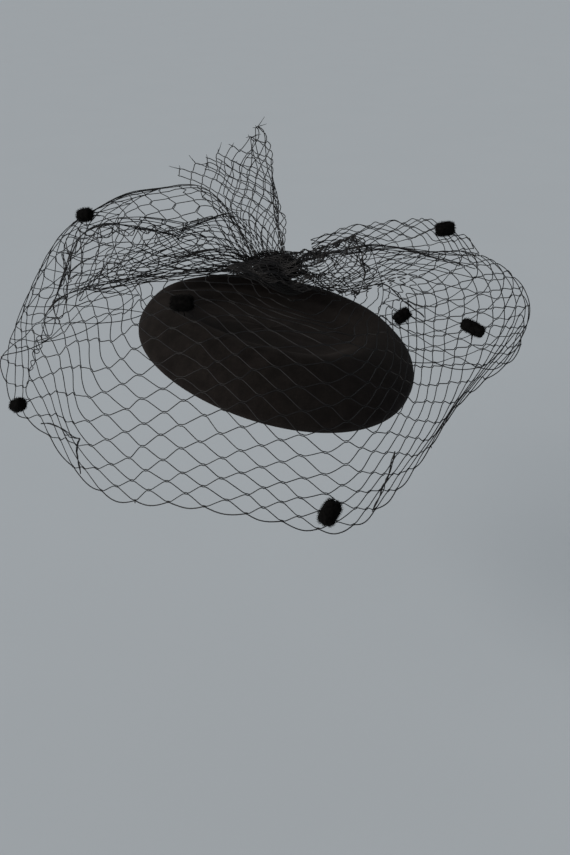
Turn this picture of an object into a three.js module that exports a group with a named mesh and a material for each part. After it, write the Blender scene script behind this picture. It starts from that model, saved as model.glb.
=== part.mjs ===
// Tilted felt cocktail hat with a gathered net veil, chenille dots and a comb inside.
// Millimetres. +X is the viewer's right, +Y is the back of the head, +Z is up.
// The origin is the middle of the hat's rim, where it sits on the head.
import * as THREE from 'three';

// Felt base
const HAT_HALF_LENGTH = 80;
const HAT_HALF_WIDTH = 78;
const HAT_CREST = 19;
const HAT_FRONT_GAIN = 0.62;
const HAT_END_GAIN = 0.09;
const HAT_RECESS_SHIFT = -7.9;
// Shares of the outline: where the recess shift and front gain start, how far in they come on
// fully, and inside which the gain levels off to the middle
const HAT_FADE_FROM = 0.99;
const HAT_FADE_OVER = 0.25;
const HAT_LEVEL_INSIDE = 0.6;
const HAT_PITCH = 9.5;
const HAT_ROLL = 12;
const HAT_SIDES = 44;
const FELT_WALL = 2.5;

// Felt profile from rim to middle: out is a share of the outline, up of the crest height
const HAT_PROFILE = [
  { out: 1.0, up: 0 },
  { out: 1.005, up: 0.18 },
  { out: 0.985, up: 0.42 },
  { out: 0.93, up: 0.68 },
  { out: 0.84, up: 0.9 },
  { out: 0.735, up: 1.0 },
  { out: 0.65, up: 0.97 },
  { out: 0.58, up: 0.84 },
  { out: 0.52, up: 0.74 },
  { out: 0.36, up: 0.7 },
  { out: 0.18, up: 0.72 },
];
const HAT_MIDDLE_UP = 0.73;

// Hair comb, sewn flat inside the front rim
const COMB_SPAN = 44;
const COMB_TEETH = 11;
const COMB_BAR = 6;
const COMB_TOOTH_LENGTH = 26;
const COMB_TOOTH_SHARE = 0.5;
const COMB_THICKNESS = 2;
const COMB_LIFT = 3;
const COMB_EASE = 0.5;

// Gathered knot at the back of the hat
const KNOT_MIDDLE = new THREE.Vector3(-2, 58, 31.5);
const KNOT_HALF = new THREE.Vector3(15, 10, 9);
const KNOT_SIDES = 16;
const KNOT_RINGS = 10;

// Net
const NET_WALL = 1.2;
const PIECE_GAP = 0.35;
const EDGE_PARTS = 2;
const HOLE_SHARE = 0.84;
const BORDER_HOLE_SHARE = 0.7;
const CURVE_SAMPLES = 48;
const NORMAL_REACH = 0.02;

// Veil sections round the knot, a row for each fold. turn is degrees from the front, lift is where the
// net leaves the knot, and each pair is the reach from the knot and the height.
const VEIL_SECTIONS = [
  { turn: -130, lift: 24, shoulder: [42, 70], crest: [98, 69], belly: [148, 28], hem: [113, -19] },
  { turn: -116, lift: 24, shoulder: [44, 71], crest: [109, 67], belly: [160, 25], hem: [132, -22] },
  { turn: -103, lift: 23, shoulder: [46, 66], crest: [117, 63], belly: [164, 6], hem: [157, -28] },
  { turn: -93, lift: 22, shoulder: [46, 58], crest: [112, 60], belly: [157, 6], hem: [174, -27] },
  { turn: -86, lift: 21, shoulder: [47, 53], crest: [101, 53], belly: [138, 20], hem: [170, -31] },
  { turn: -79, lift: 20, shoulder: [51, 53], crest: [108, 62], belly: [133, 24], hem: [165, -36] },
  { turn: -74, lift: 20, shoulder: [63, 42], crest: [98, 47], belly: [122, 30], hem: [162, -40] },
  { turn: -69, lift: 16, shoulder: [66, 35], crest: [120, 32], belly: [143, 13], hem: [159, -41] },
  { turn: -60, lift: 10, shoulder: [64, 38], crest: [108, 27], belly: [141, -7], hem: [152, -43] },
  { turn: -46, lift: 4, shoulder: [66, 40], crest: [112, 25], belly: [148, -18], hem: [151, -55] },
  { turn: -32, lift: 0, shoulder: [62, 39], crest: [114, 30], belly: [150, -22], hem: [157, -56] },
  { turn: -17, lift: -4, shoulder: [56, 35], crest: [118, 29], belly: [158, -14], hem: [162, -48] },
  { turn: -3, lift: -8, shoulder: [52, 29], crest: [120, 26], belly: [160, -14], hem: [166, -49] },
  { turn: 12, lift: -10, shoulder: [48, 24], crest: [119, 22], belly: [157, -22], hem: [163, -61] },
  { turn: 22, lift: -12, shoulder: [47, 20], crest: [116, 16], belly: [152, -24], hem: [158, -51] },
  { turn: 33, lift: -12, shoulder: [48, 18], crest: [112, 10], belly: [151, -14], hem: [149, -35] },
  { turn: 45, lift: -12, shoulder: [50, 19], crest: [115, 17], belly: [149, 6], hem: [142, -18] },
  { turn: 57, lift: -11, shoulder: [52, 20], crest: [118, 36], belly: [152, 24], hem: [142, -11] },
  { turn: 68, lift: -11, shoulder: [50, 22], crest: [117, 47], belly: [155, 28], hem: [150, -5] },
  { turn: 77, lift: -10, shoulder: [47, 23], crest: [109, 50], belly: [147, 34], hem: [151, -3] },
  { turn: 88, lift: -10, shoulder: [45, 24], crest: [96, 44], belly: [131, 27], hem: [137, -30] },
  { turn: 104, lift: -9, shoulder: [42, 25], crest: [82, 38], belly: [108, 13], hem: [101, -37] },
  { turn: 124, lift: -8, shoulder: [38, 25], crest: [70, 36], belly: [86, 6], hem: [76, -34] },
];
const VEIL_STEPS = 8;
const VEIL_BUNCH = 0.75;

// Upright spray behind the knot: turn and lift on the knot, then points as right, back and up
const SPRAY_SECTIONS = [
  { turn: -92, lift: 50, middle: [-38, 61, 69], tip: [-63, 70, 89] },
  { turn: -100, lift: 60, middle: [-28, 59, 73], tip: [-40, 66, 98] },
  { turn: -130, lift: 70, middle: [-14, 63, 77], tip: [-22, 74, 107] },
  { turn: 110, lift: 62, middle: [2, 62, 78], tip: [-10, 70, 117] },
  { turn: 150, lift: 58, middle: [-3, 75, 72], tip: [-18, 86, 97] },
  { turn: -170, lift: 54, middle: [-17, 78, 68], tip: [-33, 90, 91] },
  { turn: -150, lift: 52, middle: [-28, 76, 67], tip: [-47, 88, 88] },
];

// Ruffle that opens to the right over the veil, with its mouth's points as right, back and up
const RUFFLE_SECTIONS = [
  { turn: 62, lift: 14, middle: [28, 29, 31], tip: [49, 24, 30] },
  { turn: 66, lift: 26, middle: [29, 31, 36], tip: [54, 25, 38] },
  { turn: 74, lift: 38, middle: [28, 34, 41], tip: [53, 27, 46] },
  { turn: 84, lift: 46, middle: [27, 38, 46], tip: [50, 31, 54] },
  { turn: 94, lift: 48, middle: [28, 45, 47], tip: [47, 39, 57] },
];
const RUFFLE_STEPS = 2;

// Back flap with its selvage turned up behind the right side
const FLAP_SECTIONS = [
  { turn: 92, lift: 24, middle: [68, 47], tip: [123, 48] },
  { turn: 96, lift: 26, middle: [60, 45], tip: [112, 54] },
  { turn: 101, lift: 28, middle: [51, 43], tip: [97, 59] },
  { turn: 108, lift: 30, middle: [42, 40], tip: [78, 57] },
  { turn: 119, lift: 32, middle: [30, 39], tip: [51, 52] },
];
const FAN_STEPS = 4;
const FAN_BUNCH = 0.85;

// Chenille dots: the crossing of the mesh that each is tied to, how far it pulls that crossing in
// columns and steps, its length and width, and its lean from level before it is laid along the net
const VEIL_DOTS = [
  { name: 'dot_left_top', column: 3, step: 3, pull: [-0.02, 0.14], length: 11, width: 9, lean: -29 },
  { name: 'dot_left_hem', column: 7, step: 7, pull: [0.07, 0.6], length: 13, width: 9, lean: 7 },
  { name: 'dot_over_hat', column: 11, step: 3, pull: [-0.67, -0.15], length: 14, width: 10, lean: -15 },
  { name: 'dot_front_hem', column: 13, step: 7, pull: [-0.16, 0.36], length: 15, width: 11, lean: 62 },
  { name: 'dot_right_inner', column: 16, step: 4, pull: [0.4, -0.78], length: 11, width: 8, lean: 61 },
  { name: 'dot_right_outer', column: 17, step: 5, pull: [-0.63, 0.66], length: 16, width: 8, lean: -44 },
];
const FLAP_DOTS = [
  { name: 'dot_back_flap', column: 1, step: 3, pull: [-0.3, 0.51], length: 13, width: 10, lean: 9 },
];
const PULL_SPREAD = 1.5;
const DOT_SIDES = 10;
const DOT_END_SHARE = 0.8;
const DOT_STRAIGHT_SHARE = 0.7;

// Colours and finishes
const FELT = { color: 0x0c0b0b, roughness: 0.95, metalness: 0 };
const NET = { color: 0x0a0a0b, roughness: 0.6, metalness: 0 };
const CHENILLE = { color: 0x050505, roughness: 1, metalness: 0 };
const COMB = { color: 0x141212, roughness: 0.4, metalness: 0 };

const radians = THREE.MathUtils.degToRad;

// Point on the felt's outer face, in the hat's own level frame
function hatPoint(out, up, around) {
  const fade = THREE.MathUtils.clamp((HAT_FADE_FROM - out) / HAT_FADE_OVER, 0, 1);
  const tilt = HAT_FRONT_GAIN * Math.sin(around) * fade * Math.min(1, out / HAT_LEVEL_INSIDE);
  return new THREE.Vector3(
    out * HAT_HALF_LENGTH * Math.cos(around) + HAT_RECESS_SHIFT * fade,
    out * HAT_HALF_WIDTH * Math.sin(around) * (1 + HAT_END_GAIN * Math.cos(around)),
    up * HAT_CREST * (1 - tilt),
  );
}

// Mesh of points and triangles
function solid(points, triangles) {
  const geometry = new THREE.BufferGeometry();
  const values = points.flatMap((point) => point.toArray());
  geometry.setAttribute('position', new THREE.Float32BufferAttribute(values, 3));
  geometry.setIndex(triangles);
  return geometry;
}

// Triangles of the felt's face: rings of sides from the rim inwards, closed by a middle point
function hatFaces(first, turned) {
  const faces = [];
  const rings = HAT_PROFILE.length;
  const add = (a, b, c) => faces.push(first + a, first + (turned ? c : b), first + (turned ? b : c));
  for (let side = 0; side < HAT_SIDES; side += 1) {
    const next = (side + 1) % HAT_SIDES;
    for (let ring = 0; ring < rings - 1; ring += 1) {
      const low = ring * HAT_SIDES;
      const high = low + HAT_SIDES;
      add(low + side, low + next, high + next);
      add(low + side, high + next, high + side);
    }
    add((rings - 1) * HAT_SIDES + side, (rings - 1) * HAT_SIDES + next, rings * HAT_SIDES);
  }
  return faces;
}

// Felt shell, hollow and open below
function hatGeometry() {
  const outer = [];
  for (const { out, up } of HAT_PROFILE) {
    for (let side = 0; side < HAT_SIDES; side += 1) {
      outer.push(hatPoint(out, up, (side / HAT_SIDES) * 2 * Math.PI));
    }
  }
  outer.push(hatPoint(0, HAT_MIDDLE_UP, 0));
  const face = solid(outer, hatFaces(0, false));
  face.computeVertexNormals();
  const inner = outer.map((point, index) => {
    const normal = new THREE.Vector3().fromBufferAttribute(face.attributes.normal, index);
    if (index < HAT_SIDES) normal.setZ(0).normalize();
    return point.clone().addScaledVector(normal, -FELT_WALL);
  });
  const rim = [];
  for (let side = 0; side < HAT_SIDES; side += 1) {
    const next = (side + 1) % HAT_SIDES;
    rim.push(side, outer.length + side, outer.length + next);
    rim.push(side, outer.length + next, next);
  }
  return solid([...outer, ...inner], [...hatFaces(0, false), ...hatFaces(outer.length, true), ...rim]);
}

// Comb outline: its bar follows the inside of the front rim and its teeth point back
function combGeometry() {
  const outline = new THREE.Shape();
  const inset = FELT_WALL + PIECE_GAP + COMB_EASE;
  const front = (x) => {
    const around = Math.acos(x / (HAT_HALF_LENGTH - inset));
    return -(HAT_HALF_WIDTH - inset) * Math.sin(around) * (1 + HAT_END_GAIN * Math.cos(around));
  };
  const pitch = COMB_SPAN / COMB_TEETH;
  const tooth = pitch * COMB_TOOTH_SHARE;
  const left = -COMB_SPAN / 2;
  outline.moveTo(left, front(left));
  for (let place = 1; place <= COMB_TEETH; place += 1) {
    outline.lineTo(left + place * pitch, front(left + place * pitch));
  }
  for (let place = COMB_TEETH; place > 0; place -= 1) {
    const right = left + place * pitch - (pitch - tooth) / 2;
    const root = front(right) + COMB_BAR;
    outline.lineTo(right, root);
    outline.lineTo(right, root + COMB_TOOTH_LENGTH);
    outline.lineTo(right - tooth, root + COMB_TOOTH_LENGTH);
    outline.lineTo(right - tooth, root);
  }
  outline.closePath();
  const geometry = new THREE.ExtrudeGeometry(outline, { depth: COMB_THICKNESS, bevelEnabled: false });
  geometry.translate(0, 0, COMB_LIFT);
  return geometry;
}

// Smooth curve through points, at a place counted in points
function curvePoint(points, place) {
  const last = points.length - 1;
  const from = Math.min(Math.floor(place), last - 1);
  const part = place - from;
  const start = points[from];
  const end = points[from + 1];
  const before = from > 0 ? points[from - 1] : start.clone().multiplyScalar(2).sub(end);
  const after = from + 2 <= last ? points[from + 2] : end.clone().multiplyScalar(2).sub(start);
  const squared = part * part;
  const cubed = squared * part;
  return new THREE.Vector3()
    .addScaledVector(before, 0.5 * (-part + 2 * squared - cubed))
    .addScaledVector(start, 0.5 * (2 - 5 * squared + 3 * cubed))
    .addScaledVector(end, 0.5 * (part + 4 * squared - 3 * cubed))
    .addScaledVector(after, 0.5 * (cubed - squared));
}

// Point just off the knot's face, at a turn from the front and a lift from level
function knotPoint(turn, lift) {
  const level = Math.cos(radians(lift));
  const clear = PIECE_GAP + NET_WALL / 2;
  return new THREE.Vector3(
    KNOT_MIDDLE.x + (KNOT_HALF.x + clear) * level * Math.sin(radians(turn)),
    KNOT_MIDDLE.y - (KNOT_HALF.y + clear) * level * Math.cos(radians(turn)),
    KNOT_MIDDLE.z + (KNOT_HALF.z + clear) * Math.sin(radians(lift)),
  );
}

// Point at a turn, reach and height from the knot
function reachPoint(turn, [reach, height]) {
  const side = Math.sin(radians(turn));
  const front = Math.cos(radians(turn));
  return new THREE.Vector3(KNOT_MIDDLE.x + reach * side, KNOT_MIDDLE.y - reach * front, height);
}

// Net surface through section curves: across counts sections, along runs from 0 at the knot to 1
function netSurface(sections, bunch) {
  return (across, along) => {
    const place = THREE.MathUtils.clamp(across, 0, sections.length - 1);
    const guides = sections[0].map((_, guide) => curvePoint(sections.map((row) => row[guide]), place));
    const samples = [];
    const lengths = [0];
    for (let step = 0; step <= CURVE_SAMPLES; step += 1) {
      samples.push(curvePoint(guides, (step / CURVE_SAMPLES) * (guides.length - 1)));
      if (step > 0) lengths.push(lengths[step - 1] + samples[step].distanceTo(samples[step - 1]));
    }
    const want = THREE.MathUtils.clamp(along, 0, 1) ** bunch * lengths[CURVE_SAMPLES];
    const step = Math.max(1, lengths.findIndex((length) => length >= want));
    const part = (want - lengths[step - 1]) / (lengths[step] - lengths[step - 1]);
    return samples[step - 1].clone().lerp(samples[step], part);
  };
}

// Unit normal of a net surface
function netNormal(surface, across, along) {
  const side = surface(across + NORMAL_REACH, along).sub(surface(across - NORMAL_REACH, along));
  const down = surface(across, along + NORMAL_REACH).sub(surface(across, along - NORMAL_REACH));
  return down.cross(side).normalize();
}

// Corners of a mesh cell, cut to a triangle where it meets the sheet's edge
function cellCorners(column, step, columns, steps) {
  const corners = [[column - 1, step], [column, step + 1], [column + 1, step], [column, step - 1]];
  return corners.filter(([x, y]) => x >= 0 && y >= 0 && x <= columns && y <= steps);
}

// Place on a sheet of a point of its lattice, drawn towards the dots that pull on the mesh
function latticePlace({ columns, steps, dots }, x, y) {
  const hold = Math.min(1, x, columns - x) * Math.min(1, y, steps - y);
  let [across, down] = [x, y];
  for (const { column, step, pull } of dots) {
    const near = hold * Math.exp(-((x - column) ** 2 + (y - step) ** 2) / PULL_SPREAD);
    across += pull[0] * near;
    down += pull[1] * near;
  }
  return [across, down / steps];
}

// Points of a net sheet's two faces, each made once and found again by its place on the lattice
function latticePoints(sheet) {
  const points = [];
  const known = new Map();
  const find = ([x, y], face) => {
    const key = `${x.toFixed(5)} ${y.toFixed(5)} ${face}`;
    if (!known.has(key)) {
      const [across, along] = latticePlace(sheet, x, y);
      const normal = netNormal(sheet.surface, across, along);
      points.push(sheet.surface(across, along).addScaledVector(normal, (face * NET_WALL) / 2));
      known.set(key, points.length - 1);
    }
    return known.get(key);
  };
  return { points, find };
}

// Outline of a mesh cell with its edges in parts, each part marked where it lies on the sheet's edge
function cellEdges(corners, { columns, steps }) {
  return corners.flatMap((start, index) => {
    const end = corners[(index + 1) % corners.length];
    const onSide = start[0] === end[0] && (start[0] === 0 || start[0] === columns);
    const onEnd = start[1] === end[1] && (start[1] === 0 || start[1] === steps);
    const place = (part) => start.map((value, axis) => value + (part / EDGE_PARTS) * (end[axis] - value));
    return Array.from({ length: EDGE_PARTS }, (_, part) => ({
      from: place(part),
      to: place(part + 1),
      bare: onSide || onEnd,
    }));
  });
}

// Faces of one cell: a ring round its hole, or a full cell where the share of the hole is zero
function cellFaces(corners, share, sheet, find) {
  const faces = [];
  const quad = (a, b, c, d) => faces.push(a, b, c, a, c, d);
  const middle = [0, 1].map((axis) => corners.reduce((sum, at) => sum + at[axis], 0) / corners.length);
  const inward = (at) => at.map((value, axis) => middle[axis] + share * (value - middle[axis]));
  for (const { from, to, bare } of cellEdges(corners, sheet)) {
    const [fromTop, toTop] = [find(from, 1), find(to, 1)];
    const [fromBase, toBase] = [find(from, -1), find(to, -1)];
    if (share > 0) {
      const [holeFromTop, holeToTop] = [find(inward(from), 1), find(inward(to), 1)];
      const [holeFromBase, holeToBase] = [find(inward(from), -1), find(inward(to), -1)];
      quad(fromTop, toTop, holeToTop, holeFromTop);
      quad(toBase, fromBase, holeFromBase, holeToBase);
      quad(holeFromTop, holeToTop, holeToBase, holeFromBase);
    } else {
      faces.push(fromTop, toTop, find(middle, 1));
      faces.push(toBase, fromBase, find(middle, -1));
    }
    if (bare) quad(toTop, fromTop, fromBase, toBase);
  }
  return faces;
}

// Pierced net sheet: a lattice of diamond cells as one closed wall, full where it leaves the knot
function netGeometry(sheet) {
  const { points, find } = latticePoints(sheet);
  const faces = [];
  for (let column = 0; column <= sheet.columns; column += 1) {
    for (let step = 0; step <= sheet.steps; step += 1) {
      if ((column + step) % 2 === 1) {
        const corners = cellCorners(column, step, sheet.columns, sheet.steps);
        const share = corners.length === 4 ? HOLE_SHARE : BORDER_HOLE_SHARE;
        faces.push(...cellFaces(corners, step === 0 ? 0 : share, sheet, find));
      }
    }
  }
  return solid(points, faces);
}

function mesh(name, geometry, finish) {
  const piece = new THREE.Mesh(geometry, new THREE.MeshStandardMaterial(finish));
  piece.name = name;
  return piece;
}

// Felt base and comb in the tilt that the hat is worn at
function tiltedHat() {
  const hat = new THREE.Group();
  hat.add(mesh('hat_base', hatGeometry(), FELT));
  hat.add(mesh('comb', combGeometry(), COMB));
  hat.rotation.set(radians(HAT_PITCH), radians(HAT_ROLL), 0, 'YXZ');
  return hat;
}

function gatherKnot() {
  const knot = mesh('gather_knot', new THREE.SphereGeometry(1, KNOT_SIDES, KNOT_RINGS), NET);
  knot.position.copy(KNOT_MIDDLE);
  knot.scale.copy(KNOT_HALF);
  return knot;
}

// Sections of each net sheet as lists of points
function veilSections() {
  return VEIL_SECTIONS.map(({ turn, lift, ...row }) => [
    knotPoint(turn, lift),
    ...[row.shoulder, row.crest, row.belly, row.hem].map((pair) => reachPoint(turn, pair)),
  ]);
}

function pointSections(rows) {
  return rows.map(({ turn, lift, middle, tip }) => [
    knotPoint(turn, lift),
    new THREE.Vector3(...middle),
    new THREE.Vector3(...tip),
  ]);
}

function flapSections() {
  return FLAP_SECTIONS.map(({ turn, lift, middle, tip }) => [
    knotPoint(turn, lift),
    reachPoint(turn, middle),
    reachPoint(turn, tip),
  ]);
}

// Drum of chenille, lying on a crossing of a sheet's mesh
function dot({ name, column, step, length, width, lean }, sheet) {
  const [across, along] = latticePlace(sheet, column, step);
  const normal = netNormal(sheet.surface, across, along);
  const axis = new THREE.Vector3(Math.cos(radians(lean)), 0, Math.sin(radians(lean)));
  axis.addScaledVector(normal, -axis.dot(normal)).normalize();
  const [half, radius] = [length / 2, width / 2];
  const profile = [[0, -half], [radius * DOT_END_SHARE, -half], [radius, -half * DOT_STRAIGHT_SHARE]];
  const outline = [...profile, ...profile.map(([x, y]) => [x, -y]).reverse()];
  const drum = new THREE.LatheGeometry(outline.map((at) => new THREE.Vector2(...at)), DOT_SIDES);
  const piece = mesh(name, drum, CHENILLE);
  piece.position.copy(sheet.surface(across, along));
  piece.position.addScaledVector(normal, NET_WALL / 2 + PIECE_GAP + radius);
  piece.quaternion.setFromUnitVectors(new THREE.Vector3(0, 1, 0), axis);
  return piece;
}

// Net sheet with its mesh count and the dots tied to it
function netSheet(name, sections, steps, bunch, dots = []) {
  const surface = netSurface(sections, bunch);
  return { name, surface, columns: sections.length - 1, steps, dots };
}

const fascinator = new THREE.Group();
fascinator.add(tiltedHat());
fascinator.add(gatherKnot());
for (const sheet of [
  netSheet('veil', veilSections(), VEIL_STEPS, VEIL_BUNCH, VEIL_DOTS),
  netSheet('spray', pointSections(SPRAY_SECTIONS), FAN_STEPS, FAN_BUNCH),
  netSheet('ruffle', pointSections(RUFFLE_SECTIONS), RUFFLE_STEPS, FAN_BUNCH),
  netSheet('back_flap', flapSections(), FAN_STEPS, FAN_BUNCH, FLAP_DOTS),
]) {
  fascinator.add(mesh(sheet.name, netGeometry(sheet), NET));
  for (const row of sheet.dots) fascinator.add(dot(row, sheet));
}

export default fascinator;
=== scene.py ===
"""Tilted felt cocktail hat with a gathered net veil, chenille dots and a comb inside.

Shapes are worked out in millimetres and written in metres, in the part's own frame:
+X is the viewer's right, +Y the back of the head, +Z up, the origin the middle of the hat's rim.
"""
import math

import bpy
import numpy as np
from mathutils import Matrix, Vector


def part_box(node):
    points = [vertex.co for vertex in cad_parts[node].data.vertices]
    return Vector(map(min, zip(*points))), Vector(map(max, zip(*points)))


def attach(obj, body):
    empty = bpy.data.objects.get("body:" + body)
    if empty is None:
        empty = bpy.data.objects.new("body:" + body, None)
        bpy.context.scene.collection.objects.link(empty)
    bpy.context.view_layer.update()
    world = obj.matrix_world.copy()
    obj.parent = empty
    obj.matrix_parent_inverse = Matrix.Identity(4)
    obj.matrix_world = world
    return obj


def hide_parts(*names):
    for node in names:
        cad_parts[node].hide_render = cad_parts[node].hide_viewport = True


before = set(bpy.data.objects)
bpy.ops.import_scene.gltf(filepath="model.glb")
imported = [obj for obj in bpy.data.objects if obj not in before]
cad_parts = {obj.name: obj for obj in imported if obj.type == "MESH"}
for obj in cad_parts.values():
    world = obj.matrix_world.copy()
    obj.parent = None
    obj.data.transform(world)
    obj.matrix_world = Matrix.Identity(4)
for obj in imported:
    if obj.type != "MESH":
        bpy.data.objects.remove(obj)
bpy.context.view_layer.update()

MM = 0.001
BODY = "root"

# Camera at the photograph's angle
CAMERA_AT = (4.8, -608.1, 222.3)
CAMERA_ELEVATION = 24.0
CAMERA_LENS = 47.07
CAMERA_CLIP = 0.01

# Felt base: sizes in millimetres, angles in degrees, the rest as shares
HAT_HALF_LENGTH = 80.0
HAT_HALF_WIDTH = 78.0
HAT_CREST = 19.0
HAT_FRONT_GAIN = 0.62
HAT_END_GAIN = 0.09
HAT_RECESS_SHIFT = -7.9
HAT_FADE_FROM = 0.99
HAT_FADE_OVER = 0.25
HAT_LEVEL_INSIDE = 0.6
HAT_PITCH = 9.5
HAT_ROLL = 12.0
FELT_WALL = 2.5
HAT_SIDES = 240
HAT_RING_PARTS = 5
LIP_ANGLES = (45, 90, 135)
# Hand-blocked unevenness of the felt: height, waves round the hat, waves from rim to middle, phase
FELT_WAVES = ((0.22, 3, 2, 0.4), (0.14, 7, 3, 1.9), (0.08, 13, 5, 4.0))

# Felt profile from rim to middle: share of the outline, share of the crest height
HAT_PROFILE = (
    (1.0, 0.0),
    (1.005, 0.18),
    (0.985, 0.42),
    (0.93, 0.68),
    (0.84, 0.9),
    (0.735, 1.0),
    (0.65, 0.97),
    (0.58, 0.84),
    (0.52, 0.74),
    (0.36, 0.7),
    (0.18, 0.72),
    (0.0, 0.73),
)

# Gathered knot: its middle, half size, and how far off it the nets start
KNOT_MIDDLE = np.array([-2.0, 58.0, 31.5])
KNOT_HALF = np.array([15.0, 10.0, 9.0])
KNOT_CLEAR = 0.95
# Its wound loops: how many, points on each, least and most share of a turn, size and tilt, and how far, how
# often and from where a loop swells along its length
KNOT_SEED = 57
KNOT_LOOPS = 230
KNOT_LOOP_POINTS = 26
KNOT_TURN = (0.35, 0.8)
KNOT_SIZE = (0.3, 1.3)
KNOT_TILT = (-0.6, 0.6)
KNOT_SWELL = 0.15
KNOT_SWELLS = 2
KNOT_SWELL_START = (0, 6)
# Its loops stay off the felt below: their largest size there, the level up to which it holds, and how fast
# it grows above
KNOT_UNDER = 0.92
KNOT_UNDER_LEVEL = -0.35
KNOT_UNDER_GROWTH = 2.5
# Gloss of the hanging net and of the net wound tight at the knot
NET_GLOSS = 0.32
KNOT_GLOSS = 0.1

# Netting: strand and selvage radius, each strand's sides, and the size of a selvage knot against its strand
STRAND = 0.31
SELVAGE = 0.38
STRAND_SIDES = 3
SELVAGE_KNOT = 1.7
# Samples along a section curve, the step over which directions are read, the share of length at which
# columns are spaced and the samples for that in a section, the power by which pleats fade in from their
# sides, and the least length that is divided by
CURVE_SAMPLES = 48
REACH = 0.004
SPACED_AT = 0.85
SPACED_SAMPLES = 40
PLEAT_FADE = 0.6
LEAST_LENGTH = 1e-9
# Tables of section and value with one value all over
EVEN = ((0, 1.0), (1, 1.0))
FAN_BUNCH = ((0, 0.95), (1, 0.95))
DOWN = np.array([0.0, 0.0, -1.0])
# One side of a mesh diamond: share of the way to the next half column and half row, and how far in
# millimetres the strand stands off the crossing so that two strands make its small eye
EDGE = (
    (0.0, 0.0, 0.45),
    (0.09, 0.0, 0.3),
    (0.18, 0.09, 0.08),
    (0.28, 0.22, 0.0),
    (0.39, 0.36, 0.0),
    (0.5, 0.5, 0.0),
    (0.61, 0.64, 0.0),
    (0.72, 0.78, 0.0),
    (0.82, 0.91, -0.08),
    (0.91, 1.0, -0.3),
    (1.0, 1.0, -0.45),
)

# Veil sections round the knot, a row for each fold: degrees from the front, lift where the net
# leaves the knot, then pairs of reach from the knot and height at shoulder, crest, belly and hem
VEIL_SECTIONS = (
    (-130, 24, (42, 70), (98, 69), (148, 28), (113, -19)),
    (-116, 24, (44, 71), (109, 67), (160, 25), (132, -22)),
    (-103, 23, (46, 66), (117, 63), (164, 6), (157, -28)),
    (-93, 22, (46, 58), (112, 60), (157, 6), (174, -27)),
    (-86, 21, (47, 53), (101, 53), (138, 20), (170, -31)),
    (-79, 20, (51, 53), (108, 62), (133, 24), (165, -36)),
    (-74, 20, (63, 42), (98, 47), (122, 30), (162, -40)),
    (-69, 16, (66, 35), (120, 32), (143, 13), (159, -41)),
    (-60, 10, (64, 38), (108, 27), (141, -7), (152, -43)),
    (-46, 4, (66, 40), (112, 25), (148, -18), (151, -55)),
    (-32, 0, (62, 39), (114, 30), (150, -22), (157, -56)),
    (-17, -4, (56, 35), (118, 29), (158, -14), (162, -48)),
    (-3, -8, (52, 29), (120, 26), (160, -14), (166, -49)),
    (12, -10, (48, 24), (119, 22), (157, -22), (163, -61)),
    (22, -12, (47, 20), (116, 16), (152, -24), (158, -51)),
    (33, -12, (48, 18), (112, 10), (151, -14), (149, -35)),
    (45, -12, (50, 19), (115, 17), (149, 6), (142, -18)),
    (57, -11, (52, 20), (118, 36), (152, 24), (142, -11)),
    (68, -11, (50, 22), (117, 47), (155, 28), (150, -5)),
    (77, -10, (47, 23), (109, 50), (147, 34), (151, -3)),
    (88, -10, (45, 24), (96, 44), (131, 27), (137, -30)),
    (104, -9, (42, 25), (82, 38), (108, 13), (101, -37)),
    (124, -8, (38, 25), (70, 36), (86, 6), (76, -34)),
)
VEIL_SEED = 11
VEIL_COLUMNS = 61
VEIL_ROWS = 34
# How densely the columns lie along the sections: section, density
VEIL_CLOSE = (
    (0, 0.45), (3, 0.62), (4.5, 0.85), (6.8, 0.95), (8, 0.75),
    (9.5, 0.66), (11, 0.92), (13, 1.05), (14, 1.4), (16, 1.25),
    (18, 0.85), (20, 0.6), (22, 0.65),
)
# Pleats laid over a net: first and last section, pleats in each section, height, and the powers by which they
# rise from the knot and fall to the hem
VEIL_PLEATS = (
    (3.0, 8.6, 0.9, 7.0, 0.45, 1.1),
    (15.4, 18.6, 0.62, 5.0, 0.6, 1.0),
)
# How the rows crowd towards the hem along the sections: section, power of the share of length
VEIL_BUNCH = (
    (0, 1.0), (7, 0.95), (9, 0.8), (11, 0.8), (12.5, 0.68),
    (14, 0.56), (15, 0.58), (16.5, 0.74), (18, 0.85), (22, 1.0),
)
# The front of the veil hangs in even columns that come over to other sections near the knot: section at the
# hem, section near the knot and how late the column comes over, then the share of length where it has done so
SPREAD = (
    (0.0, 0.0, 2.0),
    (7.0, 5.6, 1.6),
    (8.5, 6.0, 0.9),
    (9.4, 6.7, 0.9),
    (10.5, 7.4, 1.3),
    (11.3, 9.6, 1.7),
    (12.0, 11.3, 1.5),
    (12.6, 12.9, 1.0),
    (13.2, 14.8, 1.0),
    (14.0, 16.4, 1.0),
    (16.0, 17.9, 1.3),
    (18.0, 19.2, 1.3),
    (20.0, 20.6, 1.3),
    (22.0, 22.0, 1.0),
)
SPREAD_AT = 0.3
# Its top rows are drawn together under the knot: their share of the rows, the shares of length they lie
# between, and how far in each section
DRAWN_SHARE = 0.28
DRAWN_FROM = 0.02
DRAWN_TO = 0.11
DRAWN_OVER = ((0, 0.0), (6, 0.0), (8.5, 1.0), (20, 1.0), (22, 0.5))
# Its strands are pulled straighter over the recess: how far by section and by share of length, and over how
# many points of the strand on each side
EASED_OVER = ((10.5, 0.0), (12.5, 0.8), (15, 0.9), (16, 1.0), (17.6, 1.0), (18.4, 0.0))
EASED_ALONG = ((0.05, 1.0), (0.35, 1.0), (0.46, 0.0))
EASED_POINTS = 10

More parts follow.
